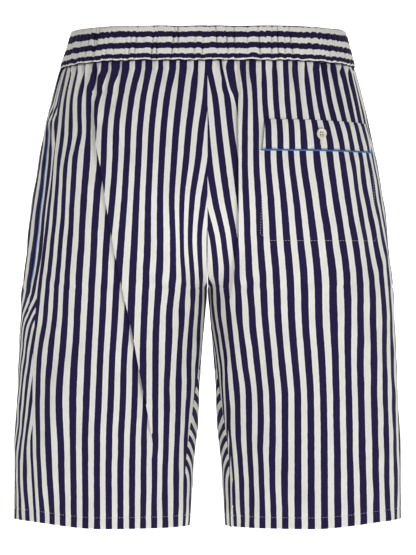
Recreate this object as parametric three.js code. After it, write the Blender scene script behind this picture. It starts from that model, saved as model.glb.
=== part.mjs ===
import * as THREE from "three";

// Striped bermuda shorts, worn, in millimetres. +Z is up, -Y is the wearer's back and +X the wearer's right.
// The origin is the centre of the waistband ring, halfway up the band.
// Each half of the garment is drawn on the +X side and mirrored for the wearer's left.

// Waistband
const bandHeight = 35;
const bandWall = 3;
const bandStandsProud = 1.2;
const puckerDepth = 0.8;
const shallowestPucker = 0.4;
const bandPuff = 0.6;
const bandRows = 4;

// Cloth and seams
const clothWall = 1.8;
const hemExtraWall = 0.8;
const hemHeight = 12;
const seamGap = 0.3;
const seamCalmColumns = { middle: 2, side: 1.5 };

// Levels down the garment
const bandTop = bandHeight / 2;
const panelTop = -bandHeight / 2 - seamGap;
const crotchLevel = -256;
const hemLevel = -507;
const riseTurnLevel = -150;
const seatLevel = -190;
const hemRise = 7;
const hemRiseFadesOver = 120;
const hemRiseStartsX = 110;
const hemRiseWidth = 95;
const hemStep = 1.5;

// Gathers under the waistband, each one a crest and a trough
const gathersPerPanel = 15;
const gatherDepth = 2.3;
const gatherFadeShort = 26;
const gatherFadeLong = 62;
const gathersEndLevel = -150;
const gathersEndOver = 60;
const gatherDepthShares = { least: 0.6, most: 1.15 };
const gatherSeeds = { front: 100, left: 50, fade: 7 };
const gatherCalmColumns = 2;

// Back pocket flap, blue piping and button
const flapTop = -80;
const flapBottom = -110.5;
const flapInnerX = 58;
const flapBehindSide = 33;
const flapWall = 1.6;
const flapFirstColumn = 9;
const flapLastColumn = 26;
const pipingDiameter = 2.2;
const pipingSides = 6;
const pipingStandsOff = 0.2;
const pipingStepsPerPoint = 1.3;
const mouthPoints = 12;
const buttonDiameter = 11.5;
const buttonThickness = 2.2;
const buttonHoleDiameter = 1.7;
const buttonHoleSpacing = 2.6;
const buttonX = 117.6;
const buttonZ = -93;
const buttonBevel = { bevelThickness: 0.5, bevelSize: 0.4, bevelSegments: 2 };
const buttonCurveSegments = 8;

// Side pocket mouths: distance from the side seam at each level
const mouthPath = [
  { z: -78, fromSeam: 25.5 },
  { z: -95, fromSeam: 20 },
  { z: -112, fromSeam: 15 },
  { z: -135, fromSeam: 13 },
  { z: -162, fromSeam: 13.5 },
  { z: -215, fromSeam: 11 },
  { z: -252, fromSeam: 13.5 },
];

// Level sections of one half: half width, depths of the back and front surfaces, where those are deepest,
// and how far the inseam stands from the middle.
const sections = [
  { z: 18, halfWidth: 145, backY: -98, frontY: 96, apexX: 56, inseamX: 0 },
  { z: -18, halfWidth: 155.3, backY: -100, frontY: 98, apexX: 58, inseamX: 0 },
  { z: -55, halfWidth: 165.4, backY: -105, frontY: 100, apexX: 60, inseamX: 0 },
  { z: -87, halfWidth: 172.9, backY: -107.5, frontY: 100, apexX: 61, inseamX: 0 },
  { z: -119, halfWidth: 179.3, backY: -108, frontY: 98.5, apexX: 63, inseamX: 0 },
  { z: -151, halfWidth: 184.6, backY: -106, frontY: 96, apexX: 66, inseamX: 0 },
  { z: -183, halfWidth: 189.4, backY: -101, frontY: 92.5, apexX: 71, inseamX: 0 },
  { z: -215, halfWidth: 192.6, backY: -95, frontY: 89, apexX: 80, inseamX: 0 },
  { z: -256, halfWidth: 197, backY: -87.5, frontY: 84.5, apexX: 91, inseamX: 0.15 },
  { z: -294, halfWidth: 199.2, backY: -82.5, frontY: 81.2, apexX: 99, inseamX: 3.7 },
  { z: -342, halfWidth: 201.6, backY: -78.5, frontY: 78, apexX: 105, inseamX: 6.9 },
  { z: -390, halfWidth: 203.7, backY: -76, frontY: 75.7, apexX: 109, inseamX: 10.1 },
  { z: -438, halfWidth: 205.6, backY: -74, frontY: 74, apexX: 111, inseamX: 13.8 },
  { z: -507, halfWidth: 205.5, backY: -72, frontY: 72, apexX: 112, inseamX: 18.6 },
];

// Side seams: how far each lies behind the widest point, measured round the cloth.
const sideSeams = {
  left: [
    { z: 18, behind: 34 },
    { z: -60, behind: 44 },
    { z: -100, behind: 58 },
    { z: -150, behind: 62 },
    { z: -220, behind: 57 },
    { z: -320, behind: 49 },
    { z: -400, behind: 52 },
    { z: -507, behind: 58 },
  ],
  right: [
    { z: 18, behind: 8 },
    { z: -250, behind: 12 },
    { z: -507, behind: 10 },
  ],
};

// Folds: path from the top down, height of the lapping side, depth of the trough beside it, reach of both,
// and which side of the path laps over (+1 towards the side seam, -1 towards the middle).
const folds = {
  back_left: [
    {
      path: [
        { z: -60, x: 117.4 }, { z: -80, x: 116.4 }, { z: -101, x: 115 }, { z: -127, x: 110.7 },
        { z: -189, x: 101.4 }, { z: -236, x: 93 }, { z: -309, x: 77.9 }, { z: -349, x: 70.9 },
        { z: -392, x: 62.5 }, { z: -440, x: 53 },
      ],
      lap: 4.6, sink: 3.4, lapReach: 26, sinkReach: 15, side: -1, fadeIn: 30, fadeOut: 60,
    },
  ],
  back_right: [
    {
      path: [
        { z: -62, x: 31.7 }, { z: -177, x: 32.3 }, { z: -237, x: 29.6 }, { z: -273, x: 25.5 },
        { z: -299, x: 24 }, { z: -349, x: 23 }, { z: -400, x: 24 }, { z: -465, x: 27 },
      ],
      lap: 3.8, sink: 3.4, lapReach: 24, sinkReach: 12, side: 1, fadeIn: 40, fadeOut: 60,
    },
  ],
  front_left: [
    {
      path: [{ z: -46, x: 96 }, { z: -150, x: 84 }, { z: -270, x: 92 }, { z: -420, x: 70 }],
      lap: 4, sink: 3.2, lapReach: 26, sinkReach: 15, side: 1, fadeIn: 40, fadeOut: 70,
    },
  ],
  front_right: [
    {
      path: [{ z: -56, x: 74 }, { z: -170, x: 66 }, { z: -290, x: 84 }, { z: -440, x: 96 }],
      lap: 4.2, sink: 3.2, lapReach: 26, sinkReach: 15, side: -1, fadeIn: 40, fadeOut: 70,
    },
  ],
};

// Soft waves of the cloth: path from the top down, height, and reach to each side.
const waves = {
  back_left: [
    { path: [{ z: -120, x: 34 }, { z: -250, x: 30 }], height: 2.4, reach: 10 },
    { path: [{ z: -330, x: 152 }, { z: -470, x: 172 }], height: 3, reach: 17 },
  ],
  back_right: [
    { path: [{ z: -410, x: 56 }, { z: -486, x: 88 }], height: 3, reach: 15 },
    { path: [{ z: -130, x: 160 }, { z: -240, x: 176 }], height: -2.4, reach: 12 },
  ],
  front_left: [
    { path: [{ z: -320, x: 150 }, { z: -480, x: 128 }], height: 3, reach: 18 },
    { path: [{ z: -130, x: 36 }, { z: -250, x: 34 }], height: 2.4, reach: 11 },
  ],
  front_right: [
    { path: [{ z: -300, x: 142 }, { z: -470, x: 156 }], height: 3, reach: 18 },
    { path: [{ z: -120, x: 34 }, { z: -246, x: 36 }], height: 2.4, reach: 11 },
  ],
};
const waveFadesOver = 60;
const foldStepHalfWidth = 2;

// The centre seam's curve under the body, and how softly the cloth runs from it into each leg
const riseBend = 2.4;
const riseEase = 0.6;
const bridgeSoftness = 0.8;
const faceSamples = 40;

// Grid of one panel: columns run from the middle to the side seam, rows from the waist to the hem.
const panelColumns = gathersPerPanel * 2;
const foldColumnSpacing = 5;
const foldFirstColumn = { back_left: 14, back_right: 4, front_left: 14, front_right: 14 };
const middlePinColumn = 4;
const middlePinX = 30;
const alignStartsLevel = -40;
const alignFullLevel = -78;
const rowStretches = [
  { to: flapTop, steps: 4 },
  { to: flapBottom, steps: 2 },
  { to: seatLevel, steps: 3 },
  { to: crotchLevel, steps: 5, crowding: 1.8 },
  { to: hemLevel + hemHeight, steps: 7 },
  { to: hemLevel + hemHeight - hemStep, steps: 1 },
  { to: hemLevel, steps: 1 },
];

const navyStripeCloth = { color: 0x7d7a8e, roughness: 0.85, metalness: 0 };
const bluePiping = { color: 0x3e68a5, roughness: 0.6, metalness: 0 };
const buttonResin = { color: 0xe4dcc6, roughness: 0.35, metalness: 0 };

const clamp01 = (v) => Math.min(1, Math.max(0, v));
const lerp = (a, b, t) => a + (b - a) * t;
const smooth = (v) => clamp01(v) ** 2 * (3 - 2 * clamp01(v));
const fract = (v) => v - Math.floor(v);
const scatter = (n) => fract(Math.sin(n * 12.9898) * 43758.5453);

// A smooth curve through the rows of a table sorted from the top down, with no overshoot between rows.
function readTable(table, key, z) {
  const last = table.length - 1;
  if (z >= table[0].z) return table[0][key];
  if (z <= table[last].z) return table[last][key];
  const i = table.findIndex((row) => z > row.z) - 1;
  const slopes = table.slice(1).map((row, k) => (row[key] - table[k][key]) / (row.z - table[k].z));
  const tangent = (k) => {
    if (k === 0) return slopes[0];
    if (k === last) return slopes[last - 1];
    const [a, b] = [slopes[k - 1], slopes[k]];
    return a * b <= 0 ? 0 : (2 * a * b) / (a + b);
  };
  const span = table[i + 1].z - table[i].z;
  const t = (z - table[i].z) / span;
  const [p, q] = [table[i][key], table[i + 1][key]];
  const [m, n] = [tangent(i) * span, tangent(i + 1) * span];
  return p + t * m + t * t * (3 * (q - p) - 2 * m - n) + t ** 3 * (2 * (p - q) + m + n);
}

// The centre seam curves under the body to the crotch: its share of the full depth of each face.
function centreSeamShare(z) {
  const t = clamp01((z - crotchLevel) / (riseTurnLevel - crotchLevel));
  return (1 - (1 - t) ** riseBend) ** riseEase;
}

// Half a leg's face, from the inseam over the deepest place to the widest one. Above the crotch the cloth
// bridges from leg to leg at the depth of the centre seam and runs softly into each leg's own curve.
function facePoints(read, depth, seamShare) {
  const inseam = new THREE.Vector2(read("inseamX"), 0);
  const apex = new THREE.Vector2(read("apexX"), depth);
  const widest = new THREE.Vector2(read("halfWidth"), 0);
  const quarter = (from, to, startsUpright) => {
    const centre = startsUpright ? new THREE.Vector2(to.x, from.y) : new THREE.Vector2(from.x, to.y);
    return Array.from({ length: faceSamples + 1 }, (_, k) => {
      const angle = (Math.PI / 2) * (k / faceSamples);
      const [u, v] = [Math.cos(angle), Math.sin(angle)];
      return new THREE.Vector2(
        centre.x + (startsUpright ? (from.x - centre.x) * u : (to.x - centre.x) * v),
        centre.y + (startsUpright ? (to.y - centre.y) * v : (from.y - centre.y) * u),
      );
    });
  };
  const bridge = Math.abs(depth) * seamShare;
  const beyond = Math.max(Math.abs(depth) - bridge, 1e-6);
  const softness = bridgeSoftness * seamShare;
  const ease = (v) => 0.5 * (v + Math.hypot(v, softness));
  const bridged = quarter(inseam, apex, true).map((p) => {
    const share = ease((Math.abs(p.y) - bridge) / beyond) / ease(1);
    return new THREE.Vector2(p.x, Math.sign(depth) * (bridge + beyond * share));
  });
  return [...bridged, ...quarter(apex, widest, false)];
}

// One half of the garment at a level, as points with their distance from the centre-back seam.
const loops = new Map();
function halfLoop(z) {
  if (loops.has(z)) return loops.get(z);
  const read = (key) => readTable(sections, key, z);
  const share = centreSeamShare(z);
  const back = facePoints(read, read("backY"), share);
  const front = facePoints(read, read("frontY"), share).reverse();
  const points = [...back, ...front].filter((p, i, all) => i === 0 || p.distanceTo(all[i - 1]) > 1e-6);
  const arcs = [0];
  for (let i = 1; i < points.length; i++) arcs.push(arcs[i - 1] + points[i].distanceTo(points[i - 1]));
  const widestIndex = points.reduce((best, p, i) => (p.x > points[best].x ? i : best), 0);
  const loop = { points, arcs, length: arcs[arcs.length - 1], sideArc: arcs[widestIndex] };
  loops.set(z, loop);
  return loop;
}

// The point at a distance round the loop, with its outward direction in the level plane.
function onLoop(loop, arc) {
  const { points, arcs } = loop;
  let i = arcs.findIndex((a) => a > arc);
  if (i < 1) i = i === 0 ? 1 : arcs.length - 1;
  const t = (arc - arcs[i - 1]) / (arcs[i] - arcs[i - 1]);
  const p = points[i - 1].clone().lerp(points[i], t);
  const before = points[Math.max(0, i - 2)];
  const after = points[Math.min(points.length - 1, i + 1)];
  const along = after.clone().sub(before).normalize();
  return { p, out: new THREE.Vector2(along.y, -along.x) };
}

// The distance round the loop at which a face reaches a given x.
function arcAtX(loop, x, isFront) {
  const { points, arcs, sideArc } = loop;
  for (let i = 1; i < points.length; i++) {
    const onFace = isFront ? arcs[i] > sideArc : arcs[i] <= sideArc;
    const crossed = isFront ? points[i].x <= x : points[i].x >= x;
    if (onFace && crossed) {
      const t = (x - points[i - 1].x) / (points[i].x - points[i - 1].x);
      return lerp(arcs[i - 1], arcs[i], clamp01(t));
    }
  }
  return isFront ? loop.length : sideArc;
}

// A panel's facts: its half, its face, and where it starts and ends round the loop at each level.
function panelOf(name) {
  const isFront = name.startsWith("front");
  const half = name.endsWith("left") ? "left" : "right";
  const sideSeamArc = (z) => halfLoop(z).sideArc - readTable(sideSeams[half], "behind", z);
  const middleArc = (z) => (isFront ? halfLoop(z).length : 0);
  return { name, isFront, half, sideSeamArc, middleArc, folds: folds[name], waves: waves[name] };
}

const pathArc = (panel, fold, z) => arcAtX(halfLoop(z), readTable(fold.path, "x", z), panel.isFront);

// Columns pinned to a place on the panel: both sides of each fold, and both ends of the flap.
function pinnedColumns(panel, z) {
  const pins = [{ column: 0, arc: panel.middleArc(z) }, { column: panelColumns, arc: panel.sideSeamArc(z) }];
  const span = panel.sideSeamArc(z) - panel.middleArc(z);
  const towardsSide = Math.sign(span);
  for (const fold of panel.folds) {
    const first = foldFirstColumn[panel.name];
    const arc = pathArc(panel, fold, z);
    pins.push({ column: first, arc: arc - (towardsSide * foldColumnSpacing) / 2 });
    pins.push({ column: first + 1, arc: arc + (towardsSide * foldColumnSpacing) / 2 });
  }
  if (panel.name === "back_right") {
    const { sideArc } = halfLoop(z);
    pins.push({ column: flapFirstColumn, arc: arcAtX(halfLoop(z), flapInnerX, false) });
    pins.push({ column: flapLastColumn, arc: sideArc - flapBehindSide });
  } else {
    pins.push({ column: middlePinColumn, arc: arcAtX(halfLoop(z), middlePinX, panel.isFront) });
  }
  return pins.sort((a, b) => a.column - b.column);
}

function columnArcs(panel, z) {
  const pins = pinnedColumns(panel, z);
  const share = smooth((alignStartsLevel - z) / (alignStartsLevel - alignFullLevel));
  const [start, end] = [pins[0].arc, pins[pins.length - 1].arc];
  const inset = (Math.sign(end - start) * seamGap) / 2;
  return Array.from({ length: panelColumns + 1 }, (_, column) => {
    const next = Math.max(1, pins.findIndex((pin) => pin.column >= column));
    const [a, b] = [pins[next - 1], pins[next]];
    const pinned = lerp(a.arc, b.arc, (column - a.column) / (b.column - a.column));
    const even = lerp(start, end, column / panelColumns);
    const arc = lerp(even, pinned, share);
    if (column === 0) return arc + inset;
    return column === panelColumns ? arc - inset : arc;
  });
}

// How far the gathers push a column in or out: full under the waistband, gone at the seat.
function gatherPush(panel, column, z) {
  const side = (panel.isFront ? gatherSeeds.front : 0) + (panel.half === "left" ? gatherSeeds.left : 0);
  const fade = lerp(gatherFadeShort, gatherFadeLong, scatter(column + side + gatherSeeds.fade));
  const { least, most } = gatherDepthShares;
  const depth = gatherDepth * lerp(least, most, scatter(column + side));
  const fromSeams = Math.min(column, panelColumns - column);
  const atSeams = smooth(fromSeams / gatherCalmColumns);
  const above = smooth((z - gathersEndLevel) / gathersEndOver);
  return (column % 2 ? 1 : -1) * depth * atSeams * above * Math.exp((z - panelTop) / fade);
}

// How far the soft waves push a place on a panel in or out.
function wavePush(panel, arc, z) {
  return panel.waves.reduce((sum, wave) => {
    const [top, bottom] = wave.path.map((row) => row.z);
    const full = smooth((top - z) / waveFadesOver + 0.5) * smooth((z - bottom) / waveFadesOver + 0.5);
    const away = (arc - pathArc(panel, wave, z)) / wave.reach;
    return sum + wave.height * full * Math.exp(-(away ** 2));
  }, 0);
}

// How far the folds push a place on a panel in or out.
function foldPush(panel, arc, z) {
  return panel.folds.reduce((sum, fold) => {
    const top = fold.path[0].z;
    const bottom = fold.path[fold.path.length - 1].z;
    const begun = smooth((top + fold.fadeIn / 2 - z) / fold.fadeIn);
    const full = begun * smooth((z - bottom + fold.fadeOut) / fold.fadeOut);
    const outwards = panel.isFront ? -1 : 1;
    const d = fold.side * outwards * (arc - pathArc(panel, fold, z));
    const lapping = 0.5 * (1 + Math.tanh(d / foldStepHalfWidth));
    const lap = lapping * fold.lap * Math.exp(-((Math.max(d, 0) / fold.lapReach) ** 2));
    const sink = (1 - lapping) * fold.sink * Math.exp(-((Math.max(-d, 0) / fold.sinkReach) ** 2));
    return sum + full * (lap - sink);
  }, 0);
}

const rowLevels = rowStretches.reduce((levels, { to, steps, crowding = 1 }) => {
  const from = levels[levels.length - 1];
  for (let k = 1; k <= steps; k++) levels.push(lerp(to, from, (1 - k / steps) ** crowding));
  return levels;
}, [panelTop]);

// The hem climbs a little towards the outside of each leg.
function liftedHem(z, p) {
  const share = smooth((hemLevel + hemRiseFadesOver - z) / hemRiseFadesOver);
  return z + hemRise * share * smooth((p.x - hemRiseStartsX) / hemRiseWidth);
}

// A panel's grid: outer and inner points by row and column, with the outward direction of each.
function panelGrid(panel) {
  const mirror = panel.half === "left" ? -1 : 1;
  return rowLevels.map((z) => {
    const loop = halfLoop(z);
    const wall = clothWall + (z < hemLevel + hemHeight - 1 ? hemExtraWall : 0);
    const arcs = columnArcs(panel, z);
    return arcs.map((arc, column) => {
      const { p, out } = onLoop(loop, arc);
      const fromSide = (panelColumns - column) / seamCalmColumns.side;
      const atSeams = smooth(column / seamCalmColumns.middle) * smooth(fromSide);
      const folded = foldPush(panel, arc, z) + wavePush(panel, arc, z);
      const push = gatherPush(panel, column, z) + atSeams * folded;
      const place = (offset) => {
        const q = p.clone().addScaledVector(out, offset);
        return new THREE.Vector3(mirror * Math.max(q.x, seamGap / 2), q.y, liftedHem(z, p));
      };
      const outward = new THREE.Vector3(mirror * out.x, out.y, 0);
      return { outer: place(push), inner: place(push - wall), out: outward };
    });
  });
}

// A closed solid between two faces of a lattice. Each edge that only one cell of a face has gets a wall.
function latticeSolid(rows, outerAt, innerAt, flipped, closed = false) {
  const across = rows[0].length;
  const cellsAcross = closed ? across : across - 1;
  const vertices = [];
  rows.forEach((row, i) => row.forEach((_, j) => vertices.push(outerAt(i, j), innerAt(i, j))));
  const at = (i, j, face) => 2 * (i * across + (j % across)) + face;
  const triangles = [];
  const quad = (a, b, c, d) => triangles.push([a, b, c], [a, c, d]);
  for (let i = 0; i < rows.length - 1; i++) {
    for (let j = 0; j < cellsAcross; j++) {
      quad(at(i, j, 0), at(i + 1, j, 0), at(i + 1, j + 1, 0), at(i, j + 1, 0));
      quad(at(i, j, 1), at(i, j + 1, 1), at(i + 1, j + 1, 1), at(i + 1, j, 1));
    }
  }
  const end = rows.length - 1;
  for (let j = 0; j < cellsAcross; j++) {
    quad(at(0, j, 0), at(0, j + 1, 0), at(0, j + 1, 1), at(0, j, 1));
    quad(at(end, j, 0), at(end, j, 1), at(end, j + 1, 1), at(end, j + 1, 0));
  }
  for (let i = 0; i < end && !closed; i++) {
    const far = across - 1;
    quad(at(i, 0, 0), at(i, 0, 1), at(i + 1, 0, 1), at(i + 1, 0, 0));
    quad(at(i, far, 0), at(i + 1, far, 0), at(i + 1, far, 1), at(i, far, 1));
  }
  const geometry = new THREE.BufferGeometry();
  const numbers = vertices.flatMap((v) => v.toArray());
  geometry.setAttribute("position", new THREE.Float32BufferAttribute(numbers, 3));
  geometry.setIndex(triangles.flatMap(([a, b, c]) => (flipped ? [a, c, b] : [a, b, c])));
  geometry.computeVertexNormals();
  return geometry;
}

function namedMesh(name, geometry, finish) {
  const mesh = new THREE.Mesh(geometry, new THREE.MeshStandardMaterial(finish));
  mesh.name = name;
  return mesh;
}

function panelMesh(panel, grid) {
  const flipped = panel.isFront !== (panel.half === "left");
  const geometry = latticeSolid(grid, (i, j) => grid[i][j].outer, (i, j) => grid[i][j].inner, flipped);
  return namedMesh(panel.name, geometry, navyStripeCloth);
}

// The band's columns stand over the gathers of the four panels, so each pucker runs into a gather.
function bandColumns(z) {
  const halves = ["right", "left"].map((half) => {
    const loop = halfLoop(z);
    const seam = loop.sideArc - readTable(sideSeams[half], "behind", z);
    const shares = Array.from({ length: panelColumns }, (_, k) => k / panelColumns);
    const arcs = [...shares.map((k) => k * seam), ...shares.map((k) => lerp(seam, loop.length, k))];
    return arcs.map((arc) => ({ ...onLoop(loop, arc), mirror: half === "left" ? -1 : 1 }));
  });
  const [right, left] = halves;
  const loop = halfLoop(z);
  const turned = [{ ...onLoop(loop, loop.length), mirror: -1 }, ...left.slice(1).reverse()];
  return [...right, ...turned];
}

function waistband() {
  const levels = Array.from({ length: bandRows + 1 }, (_, k) => lerp(bandTop, -bandTop, k / bandRows));
  const rows = levels.map((z, row) =>
    bandColumns(z).map(({ p, out, mirror }, column) => {
      const puff = Math.sin((Math.PI * (row + bandPuff)) / (bandRows + 2 * bandPuff));
      const pucker = (column % 2 ? 1 : -1) * puckerDepth * lerp(shallowestPucker, 1, scatter(column)) * puff;
      const place = (offset) => {
        const q = p.clone().addScaledVector(out, offset);
        return new THREE.Vector3(mirror * q.x, q.y, z);
      };
      const outside = bandStandsProud + pucker / 2 + puff * bandPuff;
      return { outer: place(outside), inner: place(bandStandsProud - bandWall) };
    }),
  );
  const geometry = latticeSolid(rows, (i, j) => rows[i][j].outer, (i, j) => rows[i][j].inner, false, true);
  return namedMesh("waistband", geometry, navyStripeCloth);
}

// The flap lies on the panel: its points are the panel's own points, moved out.
function pocketFlap(grid) {
  const first = rowLevels.indexOf(flapTop);
  const last = rowLevels.indexOf(flapBottom);
  const rows = grid.slice(first, last + 1).map((row) => row.slice(flapFirstColumn, flapLastColumn + 1));
  const moved = (distance) => (i, j) => rows[i][j].outer.clone().addScaledVector(rows[i][j].out, distance);
  const geometry = latticeSolid(rows, moved(seamGap + flapWall), moved(seamGap), false);
  return namedMesh("back_pocket_flap", geometry, navyStripeCloth);
}

// A covered cord laid along points of the cloth.
function pipingMesh(name, points) {
  const section = new THREE.Shape();
  for (let k = 0; k < pipingSides; k++) {
    const angle = (2 * Math.PI * k) / pipingSides;
    const corner = [Math.cos(angle), Math.sin(angle)].map((v) => (v * pipingDiameter) / 2);
    if (k === 0) section.moveTo(...corner);
    else section.lineTo(...corner);
  }
  const extrudePath = new THREE.CatmullRomCurve3(points, false, "centripetal");
  const steps = Math.round(points.length * pipingStepsPerPoint);
  const geometry = new THREE.ExtrudeGeometry(section, { extrudePath, steps, bevelEnabled: false });
  return namedMesh(name, geometry, bluePiping);
}

const clearOfCloth = seamGap + pipingDiameter / 2;

function flapPiping(grid) {
  const row = rowLevels.indexOf(flapBottom);
  const down = clearOfCloth / (rowLevels[row] - rowLevels[row + 1]);
  const points = [];
  for (let j = flapFirstColumn; j <= flapLastColumn; j++) {
    const here = grid[row][j];
    const onPanel = here.outer.clone().lerp(grid[row + 1][j].outer, down);
    points.push(onPanel.addScaledVector(here.out, clearOfCloth + pipingStandsOff));
  }
  return pipingMesh("back_pocket_piping", points);
}

// The mouth of a side pocket runs down the front panel, a little in front of the side seam.
function mouthPiping(panel, grid) {
  const mirror = panel.half === "left" ? -1 : 1;
  const points = Array.from({ length: mouthPoints }, (_, k) => {
    const z = lerp(mouthPath[0].z, mouthPath[mouthPath.length - 1].z, k / (mouthPoints - 1));
    const arc = panel.sideSeamArc(z) + readTable(mouthPath, "fromSeam", z);
    const { p, out } = onLoop(halfLoop(z), arc);
    const folded = foldPush(panel, arc, z) + wavePush(panel, arc, z);
    const push = folded + gatherDepth * Math.exp((z - panelTop) / gatherFadeLong);
    const q = p.clone().addScaledVector(out, push + clearOfCloth + pipingStandsOff);
    return new THREE.Vector3(mirror * q.x, q.y, z);
  });
  return pipingMesh("side_pocket_piping_" + panel.half, points);
}

// A four-hole button, seated on the highest of the cloth beneath it.
function flapButton(flap) {
  const disc = new THREE.Shape().absarc(0, 0, buttonDiameter / 2 - buttonBevel.bevelSize, 0, 2 * Math.PI);
  for (const [sx, sy] of [[1, 1], [-1, 1], [-1, -1], [1, -1]]) {
    const hole = new THREE.Path();
    const half = buttonHoleSpacing / 2;
    disc.holes.push(hole.absarc(sx * half, sy * half, buttonHoleDiameter / 2, 0, 2 * Math.PI, true));
  }
  const depth = buttonThickness - 2 * buttonBevel.bevelThickness;
  const outline = { depth, curveSegments: buttonCurveSegments, ...buttonBevel };
  const geometry = new THREE.ExtrudeGeometry(disc, outline);
  geometry.translate(0, 0, buttonBevel.bevelThickness);
  const { p, out } = onLoop(halfLoop(buttonZ), arcAtX(halfLoop(buttonZ), buttonX, false));
  const facing = new THREE.Vector3(out.x, out.y, 0);
  const centre = new THREE.Vector3(p.x, p.y, buttonZ);
  const cloth = flap.geometry.getAttribute("position");
  let seat = -Infinity;
  for (let i = 0; i < cloth.count; i++) {
    const v = new THREE.Vector3().fromBufferAttribute(cloth, i).sub(centre);
    const height = v.dot(facing);
    if (v.addScaledVector(facing, -height).length() < buttonDiameter) seat = Math.max(seat, height);
  }
  const mesh = namedMesh("back_pocket_button", geometry, buttonResin);
  mesh.quaternion.setFromUnitVectors(new THREE.Vector3(0, 0, 1), facing);
  mesh.position.copy(centre).addScaledVector(facing, seat + seamGap);
  return mesh;
}

const shorts = new THREE.Group();
shorts.add(waistband());
const grids = {};
for (const name of Object.keys(folds)) {
  const panel = panelOf(name);
  grids[name] = panelGrid(panel);
  shorts.add(panelMesh(panel, grids[name]));
  if (panel.isFront) shorts.add(mouthPiping(panel, grids[name]));
}
const flap = pocketFlap(grids.back_right);
shorts.add(flap, flapPiping(grids.back_right), flapButton(flap));

export default shorts;
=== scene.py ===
import math

import bmesh
import bpy
import numpy as np
from mathutils import Matrix, Vector


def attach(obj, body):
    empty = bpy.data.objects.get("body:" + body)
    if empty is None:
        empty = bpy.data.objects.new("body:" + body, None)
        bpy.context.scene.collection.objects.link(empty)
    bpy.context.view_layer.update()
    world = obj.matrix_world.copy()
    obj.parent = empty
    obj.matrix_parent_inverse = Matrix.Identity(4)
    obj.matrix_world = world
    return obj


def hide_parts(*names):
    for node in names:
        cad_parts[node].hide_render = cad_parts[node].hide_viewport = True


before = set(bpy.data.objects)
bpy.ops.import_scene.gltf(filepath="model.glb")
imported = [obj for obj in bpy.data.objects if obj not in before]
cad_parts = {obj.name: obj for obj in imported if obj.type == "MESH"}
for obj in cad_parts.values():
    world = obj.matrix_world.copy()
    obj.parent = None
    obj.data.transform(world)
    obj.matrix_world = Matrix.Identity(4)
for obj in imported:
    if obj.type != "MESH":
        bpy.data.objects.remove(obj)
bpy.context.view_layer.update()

# The camera stands level behind the wearer, 4 m away, as in the photograph of 416 x 555.
camera = bpy.data.objects.new("camera", bpy.data.cameras.new("camera"))
bpy.context.scene.collection.objects.link(camera)
camera.location = (0.0005, -4.0, -0.2439)
camera.rotation_euler = (math.radians(90), 0, 0)
camera.data.lens = 243.9
camera.data.sensor_width = 36
bpy.context.scene.camera = camera

# Striped bermuda shorts, worn. All sizes below are in millimetres until a mesh is made.
# +Z is up, -Y the wearer's back, +X the wearer's right, and the origin the centre of the waistband.
MM = 0.001

# Waistband: a tube of cloth over flat elastic
BAND_TOP, BAND_BOTTOM = 17.5, -18.5
BAND_PROUD = 1.5
BAND_THICK = 2.7
BAND_COLUMNS = 2300
BAND_DROP = {"left": 4.2, "right": 2.4}
BAND_LEAN = 2.6
PUCKERS = 112
PUCKER_DEPTH = 2.8
RIPPLE = 4.3

# Panels
PANEL_TOP, CROTCH, HEM = -18.7, -256.0, -507.0
RISE_TURN = -150.0
HEM_HEIGHT = 12.0
HEM_RISE = 7.0
CLOTH = 0.62
SEAM_GAP = 0.0
GATHERS = 15
GATHER_DEPTH = 2.3
GATHER_FADE = (26.0, 62.0)

# Back pocket: flap, piping, button and the sewn outline of the bag behind the panel
FLAP_TOP, FLAP_BOTTOM = -80.0, -110.5
FLAP_INNER_TOP_X, FLAP_INNER_BOTTOM_X = 59.5, 56.4
FLAP_TOP_DROP, FLAP_BOTTOM_DROP = 2.2, 0.5
FLAP_TOP_BEHIND, FLAP_BOTTOM_BEHIND = 30.0, 36.0
FLAP_THICK = 1.0
PIPING_RADIUS = 0.95
BUTTON_X, BUTTON_Z = 117.4, -94.2
BUTTON_RADIUS, BUTTON_THICK, HOLE_OUT = 5.75, 2.0, 1.35
BAG_BOTTOM, BAG_CORNER = -205.5, 7.0

# Stripes: the cloth repeats every 14 mm, and navy takes a little under half of it.
REPEAT = 14.0
NAVY_SHARE, BAND_NAVY_SHARE = 0.545, 0.53
BAND_REPEAT, BAND_FIRST_NAVY, BAND_WHITE_EDGE = 11.6, 9.4, 34.3

# Level sections of one half: half width, back and front depth, where those are deepest, and the inseam
SECTIONS = {
    "z": [18, -18, -55, -87, -119, -151, -183, -215, -256, -294, -342, -390, -438, -507],
    "half_width": [145, 155.3, 165.4, 172.9, 179.3, 184.6, 189.4, 192.6, 197, 199.2, 201.6, 203.7, 205.6, 205.5],
    "back": [-98, -100, -105, -107.5, -108, -106, -101, -95, -87.5, -82.5, -78.5, -76, -74, -72],
    "front": [96, 98, 100, 100, 98.5, 96, 92.5, 89, 84.5, 81.2, 78, 75.7, 74, 72],
    "apex": [56, 58, 60, 61, 63, 66, 71, 80, 91, 99, 105, 109, 111, 112],
    "inseam": [0, 0, 0, 0, 0, 0, 0, 0, 0.15, 3.7, 6.9, 10.1, 13.8, 18.6],
}

# Side seams: distance behind the widest point, measured round the cloth
SIDE_SEAMS = {
    "left": {"z": [18, -60, -100, -150, -220, -320, -400, -507], "behind": [34, 44, 58, 62, 57, 49, 52, 58]},
    "right": {"z": [18, -250, -507], "behind": [8, 12, 10]},
}

# Inseams: how far inside the leg's edge they show from behind
INSEAM_SHOWS = {
    "z": [-256, -300, -320, -336, -351, -372, -393, -414, -435, -456, -477, -493, -507],
    "width": [0, 0.15, 0.5, 1.5, 3.2, 4.8, 6.5, 7.9, 8.6, 8.6, 7.8, 5.6, 4.6],
}

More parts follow.
